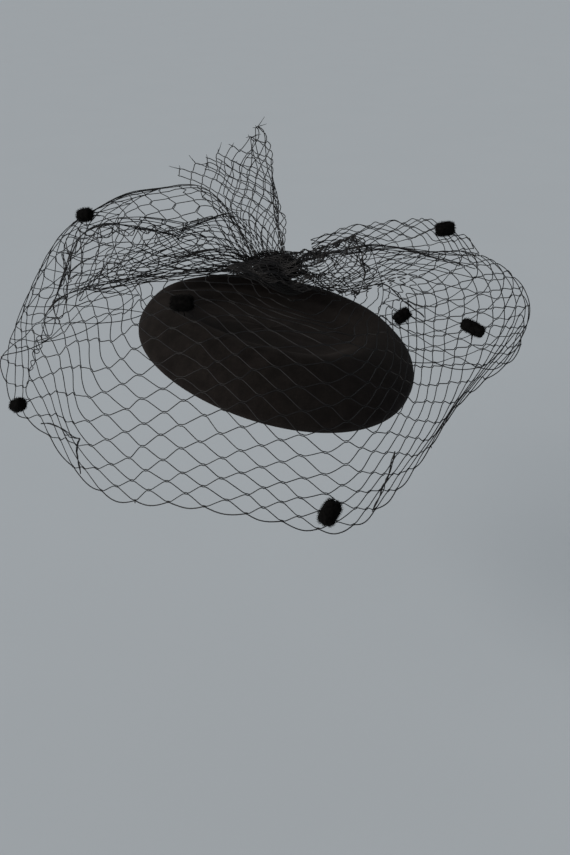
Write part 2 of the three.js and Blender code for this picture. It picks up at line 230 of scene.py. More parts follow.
# Upright spray behind the knot: turn and lift on the knot, then points as right, back and up
SPRAY_SECTIONS = (
    (-92, 50, (-38, 61, 69), (-63, 70, 89)),
    (-100, 60, (-28, 59, 73), (-40, 66, 98)),
    (-130, 70, (-14, 63, 77), (-22, 74, 107)),
    (110, 62, (2, 62, 78), (-10, 70, 117)),
    (150, 58, (-3, 75, 72), (-18, 86, 97)),
    (-170, 54, (-17, 78, 68), (-33, 90, 91)),
    (-150, 52, (-28, 76, 67), (-47, 88, 88)),
)
SPRAY_SEED = 23
SPRAY_COLUMNS = 28
SPRAY_ROWS = 15
SPRAY_PLEATS = ((-0.5, 6.5, 0.9, 5.0, 0.3, 0.2),)

# Ruffle drawn from the left under the knot, opening to the right: points as right, back and up, a row for
# each section from the front of its mouth to the back
RUFFLE_SECTIONS = (
    ((-30, 37, 39), (2, 28, 31), (28, 27, 27), (47, 22, 25)),
    ((-28, 38, 40), (5, 31, 33), (30, 29, 32), (53, 23, 33)),
    ((-24, 40, 41), (8, 35, 36), (30, 32, 37), (54, 25, 42)),
    ((-8, 44, 43), (10, 39, 40), (28, 36, 43), (51, 28, 51)),
    ((4, 46, 45), (13, 43, 45), (26, 40, 48), (48, 33, 57)),
    ((10, 50, 45), (17, 48, 46), (28, 46, 48), (46, 41, 56)),
)
RUFFLE_SEED = 31
RUFFLE_COLUMNS = 20
RUFFLE_ROWS = 34
RUFFLE_PLEATS = ((-0.5, 5.5, 0.9, 2.5, 0.7, 0.0),)
# Strands that sweep under the knot into the ruffle: how many, over which half columns, and how far along
SWEEPS = 15
SWEEP_COLUMNS = (0.3, 14.0)
SWEEP_LENGTH = 0.6

# Rolled fold of the veil on the left, from its lowest strand to its highest: lift where it comes back to the
# knot, then points as right, back and up, from its outer edge into the fold and back along its lip
ROLL_CURVES = (
    (-6, (-128, 30, 32), (-122, 34, 33), (-121, 40, 23), (-119, 34, 20), (-111, 28, 22), (-67, 38, 30)),
    (0, (-121, 31, 47), (-109, 37, 46), (-105, 44, 36), (-112, 37, 28), (-107, 30, 27), (-63, 40, 32)),
    (7, (-115, 32, 52), (-101, 39, 51), (-92, 47, 40), (-106, 40, 30), (-99, 33, 28), (-58, 42, 34)),
    (16, (-100, 34, 68), (-81, 42, 63), (-73, 50, 51), (-94, 44, 34), (-86, 38, 34), (-51, 46, 38)),
    (30, (-83, 37, 69), (-62, 45, 62), (-59, 53, 47), (-82, 48, 38), (-71, 44, 38), (-44, 49, 42)),
    (52, (-59, 40, 65), (-45, 47, 61), (-37, 54, 54), (-52, 52, 44), (-42, 50, 46), (-26, 53, 47)),
)
ROLL_TURN = -84
ROLL_SEED = 71
ROLL_COLUMNS = 15
ROLL_ROWS = 13
# Its under layer repeats each curve from a point on its lip to the knot: that point's index, how far the
# layer lies right, back and up at the lowest curve, and how much further at each curve above
UNDER_START = 3
UNDER_STEP = np.array([4.0, 14.0, 2.0])
UNDER_RISE = np.array([0.0, 0.0, 3.0])
UNDER_SEED = 73
UNDER_COLUMNS = 13
UNDER_ROWS = 18

# Back flap, turned up behind the right side: turn and lift on the knot, then pairs of reach and height
FLAP_SECTIONS = (
    (92, 24, (68, 47), (123, 48)),
    (96, 26, (60, 45), (112, 54)),
    (101, 28, (51, 43), (97, 59)),
    (108, 30, (42, 40), (78, 57)),
    (119, 32, (30, 39), (51, 52)),
    (134, 34, (21, 38), (33, 45)),
)
FLAP_SEED = 43
FLAP_COLUMNS = 15
FLAP_ROWS = 24
# The flap's band stands up to its folded edge and comes down again behind it
FLAP_BAND = np.array([0.0, -3.0, -17.0])
FLAP_RETURN = np.array([0.0, 6.0, -15.0])

# Crossings stray a little, in shares of a mesh, and the net crumples in waves, with their least and most
# turn from one crossing to the next
STRAY = 0.07
CRUMPLE_WAVES = 6
CRUMPLE_TURN = (0.3, 0.85)
# How far each net crumples in millimetres, the veil by its sections and its share of length
VEIL_CRUMPLE = (
    (0, 0.8), (3, 1.2), (4.2, 2.6), (6, 2.6), (6.8, 1.0),
    (8, 0.5), (14, 0.4), (16, 0.3), (20, 0.3), (22, 0.8),
)
VEIL_CRUMPLE_ALONG = ((0, 0.1), (0.25, 1.0), (0.6, 1.0), (0.85, 0.3), (1, 0.2))
ROLL_CRUMPLE = 1.0
SPRAY_CRUMPLE = 1.4
RUFFLE_CRUMPLE = 1.5
FLAP_CRUMPLE = 0.8
# The other nets crumple fully from this share of length on, and least at the knot
CRUMPLE_FROM = 0.3
CRUMPLE_LEAST = 0.1
# Near the knot the veil's columns are drawn into pleats: how far by section, pleats in a section, the share
# of length over which they open, and the power by which they do
GATHER_OVER = ((0, 0.7), (3, 0.5), (6, 0.4), (9, 0.0), (19, 0.0), (21, 0.5), (22, 0.9))
GATHER_PLEATS = 1.0
GATHER_LENGTH = 0.36
GATHER_POWER = 0.5
# Creased lines on the veil and on the ruffle, where strands lie together: section and share of length at the
# start, in the middle and at the end
VEIL_CREASES = (
    ((7.0, 0.28), (7.1, 0.45), (7.0, 0.68)),
    ((5.0, 0.22), (5.0, 0.45), (5.2, 0.72)),
    ((18.5, 0.27), (16.95, 0.42), (16.4, 0.58)),
    ((13.7, 1.0), (14.0, 0.95), (14.25, 0.88)),
    ((7.8, 0.99), (8.6, 0.92), (9.15, 0.88)),
    ((9.15, 0.88), (9.0, 0.94), (9.05, 1.0)),
)
RUFFLE_CREASES = (
    ((0.2, 0.98), (2.4, 0.96), (4.6, 0.98)),
    ((4.6, 0.3), (4.5, 0.65), (4.4, 1.0)),
)
# Strands in a crease, points on each, points from one stray to the next, how far they stray, and the power by
# which they part from the crease's ends
CREASE_STRANDS = 3
CREASE_POINTS = 40
CREASE_STRAY_EVERY = 5
CREASE_SPREAD = 0.6
CREASE_POWER = 0.5
# Sag of the selvage between its knots, parts of it in a half column, knots from one cut tail to the next, the
# tail's least and most length, its points, and how far its sides turn to the net's outward direction
SELVAGE_SAG = 2.4
SELVAGE_PARTS = 6
TAIL_EVERY = 5
TAIL_LENGTH = (1.2, 2.6)
TAIL_POINTS = 4
TAIL_SIDE = 0.1
# Cut ends of the spray: least and most length and lean, stray of their direction, bend, points, and the size
# of the tip against the strand
CUT_LENGTH = (2.0, 9.0)
CUT_LEAN = (0.2, 0.7)
CUT_STRAY = 0.15
CUT_BEND = 0.12
CUT_POINTS = 6
CUT_TIP = 0.4

# Chenille dots, the first one's seed, and the profile of their core: share of half length, share of radius
DOTS = (
    "dot_left_top",
    "dot_left_hem",
    "dot_over_hat",
    "dot_front_hem",
    "dot_right_inner",
    "dot_right_outer",
    "dot_back_flap",
)
DOT_SEED = 100
CORE_PROFILE = (
    (-0.86, 0.35), (-0.8, 0.75), (-0.6, 1.0), (0.0, 1.03), (0.6, 1.0),
    (0.8, 0.75), (0.86, 0.35),
)
CORE_SHARE = 0.82
CORE_SIDES = 16
# Pile: tufts on a dot, how far along it they go, turn from one to the next, and how far tufts stray along it,
# round it and in reach
TUFTS = 260
TUFTS_TO = 0.9
TUFT_TURN = 2.4
TUFT_ALONG_STRAY = 0.03
TUFT_TURN_STRAY = 0.2
TUFT_REACH_STRAY = 0.06
# Fibres in a tuft: their count, radius, corners in radians and faces, how far their roots spread, where along
# the dot and how deep in it roots start, and how far tips stand proud
TUFT_FIBRES = 16
FIBRE_RADIUS = 0.11
FIBRE_CORNERS = (0, 2.094, 4.189)
FIBRE_FACES = ([2, 1, 0], [0, 1, 3], [1, 2, 3], [2, 0, 3])
TUFT_SPREAD = 0.55
ROOT_ALONG = 0.75
ROOT_DEPTH = 0.35
PILE_PROUD = 0.5
# Pile brushed out at the ends: where its lean starts, how fast it grows, how fibres stray in lean and
# direction, and where, over how much and by how much their tips fall in
BRUSHED_FROM = 0.55
BRUSHED_LEAN = 1.5
FIBRE_LEAN_STRAY = 0.08
FIBRE_STRAY = 0.12
TIPS_FROM = 0.7
TIPS_OVER = 0.2
TIPS_FALL = 0.25
# Threads that tie a dot to the strands next to it: how many, how far apart, how long at most, and points
TIES = 4
TIE_APART = 4.0
TIE_REACH = 11.0
TIE_POINTS = 6

# Stage: floor height and size in metres, and the light from all round
FLOOR_AT = -0.30
FLOOR_SIZE = 40.0
WORLD_COLOUR = (0.80, 0.86, 0.92, 1.0)
WORLD_STRENGTH = 0.26
# Broad soft key from the front left: the way it comes from, its softness in degrees, strength and colour
KEY_FROM = (-0.75, -0.6, 0.38)
KEY_SOFTNESS = 50.0
KEY_STRENGTH = 2.9
KEY_COLOUR = (1.0, 0.94, 0.88)


# Curves and surfaces

def curve(points, place):
    """Smooth curve through points[0], points[1] and so on, at places counted in points."""
    last = len(points) - 1
    start = np.minimum(np.floor(place).astype(int), last - 1)
    part = (place - start).reshape((-1,) + (1,) * (points.ndim - 1))
    first = 2 * points[:1] - points[1:2]
    final = 2 * points[-1:] - points[-2:-1]
    ends = np.concatenate([first, points, final])
    squared = part * part
    cubed = squared * part
    return 0.5 * (
        ends[start] * (-part + 2 * squared - cubed)
        + ends[start + 1] * (2 - 5 * squared + 3 * cubed)
        + ends[start + 2] * (part + 4 * squared - 3 * cubed)
        + ends[start + 3] * (cubed - squared)
    )


def look_up(table, place):
    """Value at a place, read between the rows of a table of place and value."""
    return np.interp(place, *np.transpose(table))


def unit(vectors):
    """Vectors at length one."""
    return vectors / np.maximum(np.linalg.norm(vectors, axis=-1, keepdims=True), LEAST_LENGTH)


def knot_point(turn, lift):
    """Point just off the knot's face, at a turn from the front and a lift from level."""
    turn, lift = math.radians(turn), math.radians(lift)
    level = math.cos(lift)
    way = np.array([level * math.sin(turn), -level * math.cos(turn), math.sin(lift)])
    return KNOT_MIDDLE + (KNOT_HALF + KNOT_CLEAR) * way


def reach_point(turn, pair):
    """Point at a turn, reach and height from the knot."""
    turn = math.radians(turn)
    reach, height = pair
    return np.array([
        KNOT_MIDDLE[0] + reach * math.sin(turn),
        KNOT_MIDDLE[1] - reach * math.cos(turn),
        height,
    ])


class Net:
    """Net surface through section curves: across counts sections, along runs from the knot to 1."""

    def __init__(self, sections, bunch, pleats=()):
        self.sections = np.array(sections, float)
        self.last = len(sections) - 1
        self.bunch = bunch
        self.pleats = pleats

    def at(self, across, along):
        """Points of the net with its pleats."""
        points, _, out = self.frame_of(self.smooth, across, along)
        return points + out * self.pleat(across, along)[:, None]

    def frame(self, across, along):
        """Points of the net, with the unit directions down it and out of it."""
        return self.frame_of(self.at, across, along)

    def frame_of(self, surface, across, along):
        """Points of a surface over across and along, with its unit directions down it and out of it."""
        points = surface(across, along)
        down = unit(surface(across, along + REACH) - surface(across, along - REACH))
        side = surface(across + REACH, along) - surface(across - REACH, along)
        return points, down, unit(np.cross(down, side))

    def pleat(self, across, along):
        """How far the pleats stand out of the smooth net."""
        along = np.clip(along, 0, 1)
        height = np.zeros(len(across))
        for first, last, rate, most, rise, fall in self.pleats:
            inside = np.clip((across - first) / (last - first), 0, 1)
            folds = 0.5 - 0.5 * np.cos(2 * math.pi * rate * (across - first))
            fade = np.sin(math.pi * inside) ** PLEAT_FADE
            height += most * fade * folds * along**rise * (1 - along) ** fall
        return height

    def smooth(self, across, along):
        """Points of the net without pleats."""
        across = np.clip(across, 0, self.last)
        guides = curve(self.sections, across)
        places = np.linspace(0, guides.shape[1] - 1, CURVE_SAMPLES + 1)
        points = curve(np.moveaxis(guides, 1, 0), places)
        steps = np.linalg.norm(np.diff(points, axis=0), axis=2)
        lengths = np.concatenate([np.zeros((1, len(across))), np.cumsum(steps, axis=0)])
        power = look_up(self.bunch, across)
        want = np.clip(along, 0, 1) ** power * lengths[-1]
        step = np.clip((lengths < want).sum(axis=0), 1, CURVE_SAMPLES)
        each = np.arange(len(want))
        share = (want - lengths[step - 1, each]) / (lengths[step, each] - lengths[step - 1, each])
        return points[step - 1, each] + (points[step, each] - points[step - 1, each]) * share[:, None]

    def spaced(self, count, close):
        """Across of count + 1 columns, spaced over the net near its hem by how densely they lie."""
        across = np.linspace(0, self.last, SPACED_SAMPLES * self.last + 1)
        points = self.smooth(across, np.full(len(across), SPACED_AT))
        steps = np.linalg.norm(np.diff(points, axis=0), axis=1)
        steps *= look_up(close, across[1:])
        lengths = np.concatenate([[0], np.cumsum(steps)])
        return np.interp(np.linspace(0, lengths[-1], count + 1), lengths, across)


# Meshes

class Shape:
    """Points and faces gathered for one mesh."""

    def __init__(self):
        self.points = []
        self.faces = []
        self.count = 0

    def add(self, points, faces):
        """Take in points, and faces that count from the first of them."""
        self.points.append(np.asarray(points, float).reshape(-1, 3))
        self.faces.extend((np.asarray(face) + self.count).tolist() for face in faces)
        self.count += len(self.points[-1])

    def tube(self, path, up, radius, sides=STRAND_SIDES):
        """Closed strand along a path. up is a direction that is never along it."""
        ahead = unit(np.gradient(path, axis=0))
        side = unit(np.cross(ahead, up))
        over = np.cross(side, ahead)
        around = np.arange(sides) * 2 * math.pi / sides
        radius = np.broadcast_to(radius, len(path))[:, None, None]
        ring = np.cos(around)[:, None] * side[:, None] + np.sin(around)[:, None] * over[:, None]
        points = path[:, None] + radius * ring
        first = np.arange(len(path) - 1)[:, None] * sides + np.arange(sides)
        next_side = np.arange(len(path) - 1)[:, None] * sides + (np.arange(sides) + 1) % sides
        quads = np.stack([first, next_side, next_side + sides, first + sides], -1).reshape(-1, 4)
        end = (len(path) - 1) * sides
        caps = [list(range(sides))[::-1], list(range(end, end + sides))]
        self.add(points, [*quads, *caps])

    def bead(self, middle, radius, rings=4, sides=6):
        """Small closed ball."""
        points = [[0, 0, -1]]
        for ring in range(1, rings):
            lift = -math.pi / 2 + math.pi * ring / rings
            for side in range(sides):
                turn = 2 * math.pi * side / sides
                level = math.cos(lift)
                points.append([level * math.cos(turn), level * math.sin(turn), math.sin(lift)])
        points.append([0, 0, 1])
        top = len(points) - 1
        faces = []
        for side in range(sides):
            following = (side + 1) % sides
            faces.append([0, 1 + following, 1 + side])
            faces.append([top, top - sides + side, top - sides + following])
            for ring in range(rings - 2):
                low = 1 + ring * sides
                faces.append([low + side, low + following, low + sides + following, low + sides + side])
        self.add(np.array(points) * radius + middle, faces)

    def piece(self, name, material, slot, *nodes):
        """Blender object of the gathered mesh, riding on the body and standing for CAD nodes."""
        mesh = bpy.data.meshes.new(name)
        mesh.from_pydata((np.concatenate(self.points) * MM).tolist(), [], self.faces)
        mesh.polygons.foreach_set("use_smooth", np.ones(len(mesh.polygons), bool))
        mesh.materials.append(material)
        mesh.update()
        piece = bpy.data.objects.new(name, mesh)
        bpy.context.scene.collection.objects.link(piece)
        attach(piece, BODY)
        if nodes:
            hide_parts(*nodes)


# Netting

class Mesh:
    """Diamond mesh on a net: half columns across, half rows along, with crossings that stray a little."""

    def __init__(self, net, columns, rows, seed, close=EVEN, crumple=0.0):
        self.net = net
        self.columns = columns
        self.rows = rows
        self.crumple = crumple
        self.across = net.spaced(columns, close)
        self.random = np.random.default_rng(seed)
        self.stray = self.random.normal(0, STRAY, (columns + 1, rows + 1, 2))
        self.stray[:, [0, -1], 1] = 0
        turns = self.random.uniform(*CRUMPLE_TURN, (CRUMPLE_WAVES, 2))
        self.turns = turns * self.random.choice((-1, 1), (CRUMPLE_WAVES, 2))
        self.starts = self.random.uniform(0, 2 * math.pi, CRUMPLE_WAVES)
        self.swings = self.random.normal(0, CRUMPLE_WAVES**-0.5, (CRUMPLE_WAVES, 3))

    def place(self, column, row):
        """Across and along of places counted in half columns and half rows."""
        return np.interp(column, np.arange(self.columns + 1), self.across), row / self.rows

    def points(self, column, row, off=0.0):
        """Points of the mesh, moved down the net by off, and the net's outward direction there."""
        across, along = self.place(column, row)
        points, down, out = self.net.frame(across, along)
        waves = np.sin(np.stack([column, row], -1) @ self.turns.T + self.starts)
        crumpled = (waves @ self.swings) * np.reshape(self.crumpled(across, along), (-1, 1))
        return points + down * np.reshape(off, (-1, 1)) + crumpled, out

    def crumpled(self, across, along):
        """How far the net crumples, least where it leaves the knot."""
        return self.crumple * np.clip(along / CRUMPLE_FROM, CRUMPLE_LEAST, 1)

    def strayed(self, start, end, share):
        """Stray of a strand between two crossings."""
        share = np.reshape(share, (-1, 1))
        return self.stray[start] * (1 - share) + self.stray[end] * share

    def row_strand(self, row):
        """One strand that zigzags along a row, from crossing to crossing."""
        along_column, along_row, off = np.transpose(EDGE)
        column_parts, row_parts, off_parts = [], [], []
        for column in range(self.columns):
            downward = (column + row) % 2 == 0
            level = along_row if downward else 1 - along_row
            start = (column, row if downward else row + 1)
            end = (column + 1, row + 1 if downward else row)
            stray = self.strayed(start, end, along_column)
            keep = slice(None) if column == self.columns - 1 else slice(0, -1)
            column_parts.append((column + along_column + stray[:, 0])[keep])
            row_parts.append((row + level + stray[:, 1])[keep])
            off_parts.append((off if downward else -off)[keep])
        column, level, off = (np.concatenate(parts) for parts in (column_parts, row_parts, off_parts))
        path, out = self.points(column, level, off)
        return self.eased(path, *self.place(column, level)), out

    def eased(self, path, across, along):
        """Path of a strand as it lies. The veil pulls some of its strands straighter."""
        return path

    def add_rows(self, shape):
        """All strands of the mesh, row by row."""
        for row in range(self.rows):
            path, out = self.row_strand(row)
            shape.tube(path, out, STRAND)

    def end_crossings(self):
        """Columns whose crossings lie on the last row."""
        return [column for column in range(self.columns + 1) if (column + self.rows) % 2 == 0]

    def add_selvage(self, shape):
        """Edge strand with a sag between its knots, and a few cut tails."""
        count = self.columns * SELVAGE_PARTS
        column = np.arange(count + 1) / SELVAGE_PARTS
        sag = SELVAGE_SAG * np.abs(np.sin(math.pi * (column - self.rows % 2) / 2))
        stray = np.interp(column, np.arange(self.columns + 1), self.stray[:, -1, 0])
        path, out = self.points(column + stray, np.full(count + 1, float(self.rows)), sag)
        shape.tube(path, out, SELVAGE)
        for place, column in enumerate(self.end_crossings()):
            at = column * SELVAGE_PARTS
            shape.bead(path[at], SELVAGE_KNOT * SELVAGE)
            if place % TAIL_EVERY == 0:
                self.add_tail(shape, path[at], out[at])

    def add_side(self, shape, column, length=1.0):
        """Strand down one side of the net, or along one of its columns."""
        row = np.linspace(0, length * self.rows, self.rows * SELVAGE_PARTS + 1)
        path, out = self.points(np.full(len(row), float(column)), row)
        shape.tube(path, out, STRAND)

    def add_creases(self, shape, creases):
        """Strands that lie close together along each crease and meet at its ends."""
        apart = np.sin(np.linspace(0, math.pi, CREASE_POINTS)) ** CREASE_POWER
        for guides in creases:
            path = curve(np.array(guides, float), np.linspace(0, len(guides) - 1, CREASE_POINTS))
            points, _, out = self.net.frame(path[:, 0], path[:, 1])
            for _ in range(CREASE_STRANDS):
                knots = self.random.normal(0, CREASE_SPREAD, (CREASE_POINTS // CREASE_STRAY_EVERY, 3))
                stray = curve(knots, np.linspace(0, len(knots) - 1, CREASE_POINTS))
                shape.tube(points + stray * apart[:, None], out, STRAND)

    def add_tail(self, shape, start, out):
        """Short cut tail that hangs from a selvage knot."""
        way = unit(self.random.normal(0, 1, 3) + DOWN)
        length = self.random.uniform(*TAIL_LENGTH)
        path = start + np.linspace(0, length, TAIL_POINTS)[:, None] * way
        shape.tube(path, np.cross(way, out) + TAIL_SIDE * out, STRAND)

    def add_cut_ends(self, shape):
        """Free strand ends past the last row, where the net is cut."""
        for column in self.end_crossings():
            at = np.array([column + self.stray[column, -1, 0]]), np.array([float(self.rows)])
            start = self.points(*at)[0][0]
            _, down, out = (values[0] for values in self.net.frame(*self.place(*at)))
            side = np.cross(out, down)
            for hand in (-1, 1):
                length = self.random.uniform(*CUT_LENGTH)
                lean = hand * self.random.uniform(*CUT_LEAN)
                way = unit(down + lean * side + self.random.normal(0, CUT_STRAY, 3))
                share = np.linspace(0, 1, CUT_POINTS)[:, None]
                bend = self.random.normal(0, CUT_BEND, 3) * length
                path = start + share * length * way + share**2 * bend
                shape.tube(path, out, np.linspace(STRAND, CUT_TIP * STRAND, CUT_POINTS))


class VeilMesh(Mesh):
    """Mesh of the veil, in even columns at the front and with its top rows drawn together there."""

    def place(self, column, row):
        """Across and along of places, spread, drawn together and gathered."""
        across, share = super().place(column, row)
        share = np.clip(share, 0, 1)
        across = self.spread(across, np.interp(share, (0, DRAWN_SHARE, 1), (DRAWN_FROM, DRAWN_TO, 1)))
        along = self.drawn(across, share)
        return self.gathered(across, along), along

    def spread(self, across, share):
        """Across of columns that hang evenly and come over to their folds near the knot."""
        hem, top, late = np.transpose(SPREAD)
        come = np.clip((1 / share - 1) / (1 / SPREAD_AT - 1), 0, 1) ** np.interp(across, hem, late)
        return across + come * (np.interp(across, hem, top) - across)

    def drawn(self, across, share):
        """Share of length of rows, with the top rows at the front drawn together under the knot."""
        crowd = look_up(VEIL_BUNCH, across)
        top = DRAWN_FROM + (DRAWN_TO - DRAWN_FROM) * np.minimum(share / DRAWN_SHARE, 1)
        below = (1 - DRAWN_TO) * np.maximum((share - DRAWN_SHARE) / (1 - DRAWN_SHARE), 0) ** crowd
        loose = share**crowd
        return loose + look_up(DRAWN_OVER, across) * (top + below - loose)

    def gathered(self, across, along):
        """Across of columns that are drawn into pleats near the knot."""
        shut = np.clip(1 - along / GATHER_LENGTH, 0, 1) ** GATHER_POWER * look_up(GATHER_OVER, across)
        pleat = (np.floor(across * GATHER_PLEATS) + 0.5) / GATHER_PLEATS
        return across + shut * (pleat - across)

    def eased(self, path, across, along):
        """Path drawn straighter over the recess, where the strands are pulled to the knot."""
        pull = look_up(EASED_OVER, across) * look_up(EASED_ALONG, along)
        ends = np.pad(path, ((EASED_POINTS, EASED_POINTS), (0, 0)), "edge")
        around = [ends[step : step + len(path)] for step in range(2 * EASED_POINTS + 1)]
        return path + pull[:, None] * (np.mean(around, axis=0) - path)

    def crumpled(self, across, along):
        """How far the veil crumples, by section and share of length."""
        return look_up(VEIL_CRUMPLE, across) * look_up(VEIL_CRUMPLE_ALONG, along)


def veil_net():
    """Veil from the knot over shoulder, crest and belly to its hem."""
    rows = [
        [knot_point(turn, lift), *(reach_point(turn, pair) for pair in pairs)]
        for turn, lift, *pairs in VEIL_SECTIONS
    ]
    return Net(rows, EVEN, VEIL_PLEATS)


def fan_net(sections, pleats):
    """Net that fans out from the knot through the points of its sections."""
    rows = [[knot_point(turn, lift), *points] for turn, lift, *points in sections]
    return Net(rows, FAN_BUNCH, pleats)


def flap_net():
    """Flap with a band that stands up to its folded edge."""
    rows = []
    for turn, lift, middle, tip in FLAP_SECTIONS:
        middle, tip = reach_point(turn, middle), reach_point(turn, tip)
        rows.append([knot_point(turn, lift), middle, tip + FLAP_BAND, tip, tip + FLAP_RETURN])
    return Net(rows, FAN_BUNCH)


def roll_net():
    """Rolled fold: across from its outer edge to the knot, along from its lowest curve to its highest."""
    curves = [[*points, knot_point(ROLL_TURN, lift)] for lift, *points in ROLL_CURVES]
    return Net(np.swapaxes(np.array(curves, float), 0, 1), EVEN)


def under_net():
    """Under layer of the rolled fold, from its lip to the knot."""
    curves = []
    for index, (lift, *points) in enumerate(ROLL_CURVES):
        step = UNDER_STEP + index * UNDER_RISE
        curves.append([*(point + step for point in points[UNDER_START:]), knot_point(ROLL_TURN, lift)])
    return Net(np.swapaxes(np.array(curves, float), 0, 1), EVEN)


def make_veil(material):
    """Veil with its creases, rolled fold and selvage. Gives the points of its strands."""
    mesh = VeilMesh(veil_net(), VEIL_COLUMNS, VEIL_ROWS, VEIL_SEED, close=VEIL_CLOSE)
    strands = Shape()
    mesh.add_rows(strands)
    mesh.add_creases(strands, VEIL_CREASES)
    roll = Mesh(roll_net(), ROLL_COLUMNS, ROLL_ROWS, ROLL_SEED, crumple=ROLL_CRUMPLE)
    roll.add_rows(strands)
    roll.add_side(strands, 0)
    under = Mesh(under_net(), UNDER_COLUMNS, UNDER_ROWS, UNDER_SEED, crumple=ROLL_CRUMPLE)
    under.add_rows(strands)
    strands.piece("veil_net", material, "net", "veil")
    edge = Shape()
    mesh.add_selvage(edge)
    mesh.add_side(edge, 0)
    mesh.add_side(edge, VEIL_COLUMNS)
    edge.piece("veil_selvage", material, "net")
    return np.concatenate(strands.points)


def make_spray(material):
    """Spray with its raw-cut ends."""
    net = fan_net(SPRAY_SECTIONS, SPRAY_PLEATS)
    mesh = Mesh(net, SPRAY_COLUMNS, SPRAY_ROWS, SPRAY_SEED, crumple=SPRAY_CRUMPLE)
    strands = Shape()
    mesh.add_rows(strands)
    mesh.add_cut_ends(strands)
    strands.piece("spray_net", material, "net", "spray")


def make_ruffle(material):
    """Ruffle with its selvage, creases and the strands that sweep into it."""
    net = Net(RUFFLE_SECTIONS, EVEN, RUFFLE_PLEATS)
    mesh = Mesh(net, RUFFLE_COLUMNS, RUFFLE_ROWS, RUFFLE_SEED, crumple=RUFFLE_CRUMPLE)
    strands = Shape()
    mesh.add_rows(strands)
    mesh.add_selvage(strands)
    mesh.add_side(strands, RUFFLE_COLUMNS)
    for column in np.linspace(*SWEEP_COLUMNS, SWEEPS):
        mesh.add_side(strands, column, SWEEP_LENGTH)
    mesh.add_creases(strands, RUFFLE_CREASES)
    strands.piece("ruffle_net", material, "net", "ruffle")


def make_flap(material):
    """Back flap. Gives the points of its strands."""
    mesh = Mesh(flap_net(), FLAP_COLUMNS, FLAP_ROWS, FLAP_SEED, crumple=FLAP_CRUMPLE)
    strands = Shape()
    mesh.add_rows(strands)
    strands.piece("flap_net", material, "net", "back_flap")
    return np.concatenate(strands.points)


def make_knot(material):
    """Bunched strands wound round each other at the gather."""
    random = np.random.default_rng(KNOT_SEED)
    shape = Shape()
    share = np.linspace(0, 2 * math.pi, KNOT_LOOP_POINTS)
    for _ in range(KNOT_LOOPS):
        axis = unit(random.normal(0, 1, 3))
        first = unit(np.cross(axis, random.normal(0, 1, 3)))
        second = np.cross(axis, first)
        turn = share * random.uniform(*KNOT_TURN)
        size = random.uniform(*KNOT_SIZE)
        size = size + KNOT_SWELL * np.sin(share * KNOT_SWELLS + random.uniform(*KNOT_SWELL_START))
        tilt = random.uniform(*KNOT_TILT)
        ball = unit(np.cos(turn)[:, None] * first + np.sin(turn)[:, None] * second + tilt * axis)
        most = KNOT_UNDER + KNOT_UNDER_GROWTH * np.maximum(ball[:, 2] - KNOT_UNDER_LEVEL, 0)
        shape.tube(KNOT_MIDDLE + ball * KNOT_HALF * np.minimum(size, most)[:, None], ball, STRAND)
    shape.piece("knot_strands", material, "net", "gather_knot")


# Felt

def hat_points(out, up, around):
    """Points on the felt's outer face, with the hat level."""
    fade = np.clip((HAT_FADE_FROM - out) / HAT_FADE_OVER, 0, 1)
    tilt = HAT_FRONT_GAIN * np.sin(around) * fade * np.minimum(1, out / HAT_LEVEL_INSIDE)
    right = out * HAT_HALF_LENGTH * np.cos(around) + HAT_RECESS_SHIFT * fade
    back = out * HAT_HALF_WIDTH * np.sin(around) * (1 + HAT_END_GAIN * np.cos(around))
    return np.stack([right, back, up * HAT_CREST * (1 - tilt)], -1)


def worn(points):
    """Points of the level hat turned to its pitch and roll."""
    pitch, roll = math.radians(HAT_PITCH), math.radians(HAT_ROLL)
    across_turn = np.array([
        [1, 0, 0],
        [0, math.cos(pitch), -math.sin(pitch)],
        [0, math.sin(pitch), math.cos(pitch)],
    ])
    side_turn = np.array([
        [math.cos(roll), 0, math.sin(roll)],
        [0, 1, 0],
        [-math.sin(roll), 0, math.cos(roll)],
    ])
    return points @ (side_turn @ across_turn).T


def felt_faces():
    """Rings of the felt's outer and inner face from rim to middle, an even wall apart and gently uneven."""
    profile = np.array(HAT_PROFILE)
    places = np.linspace(0, len(profile) - 1, (len(profile) - 1) * HAT_RING_PARTS + 1)[:-1]
    out, up = np.split(curve(profile, places), 2, axis=1)
    around = np.arange(HAT_SIDES) * 2 * math.pi / HAT_SIDES
    outer = hat_points(out, up, around[None, :])
    ahead = np.gradient(outer, axis=0)
    side = np.roll(outer, -1, axis=1) - np.roll(outer, 1, axis=1)
    normal = unit(np.cross(side, ahead))
    normal[0] = unit(normal[0] * np.array([1, 1, 0]))
    inner = outer - FELT_WALL * normal
    rise = np.minimum(1, np.arange(len(outer)) / HAT_RING_PARTS)[:, None]
    for height, turns, waves, phase in FELT_WAVES:
        swell = height * rise * np.sin(turns * around + waves * math.pi * (1 - out) + phase)
        outer = outer + swell[:, :, None] * normal
        inner = inner + swell[:, :, None] * normal
    return outer, inner


def felt_lip(outer, inner):
    """Rings of the soft round edge between the rims of the two faces."""
    middle, half = (outer + inner) / 2, (outer - inner) / 2
    lip = []
    for angle in LIP_ANGLES:
        turn = math.radians(angle)
        lip.append(middle + half * math.cos(turn) - np.array([0, 0, FELT_WALL / 2 * math.sin(turn)]))
    return lip


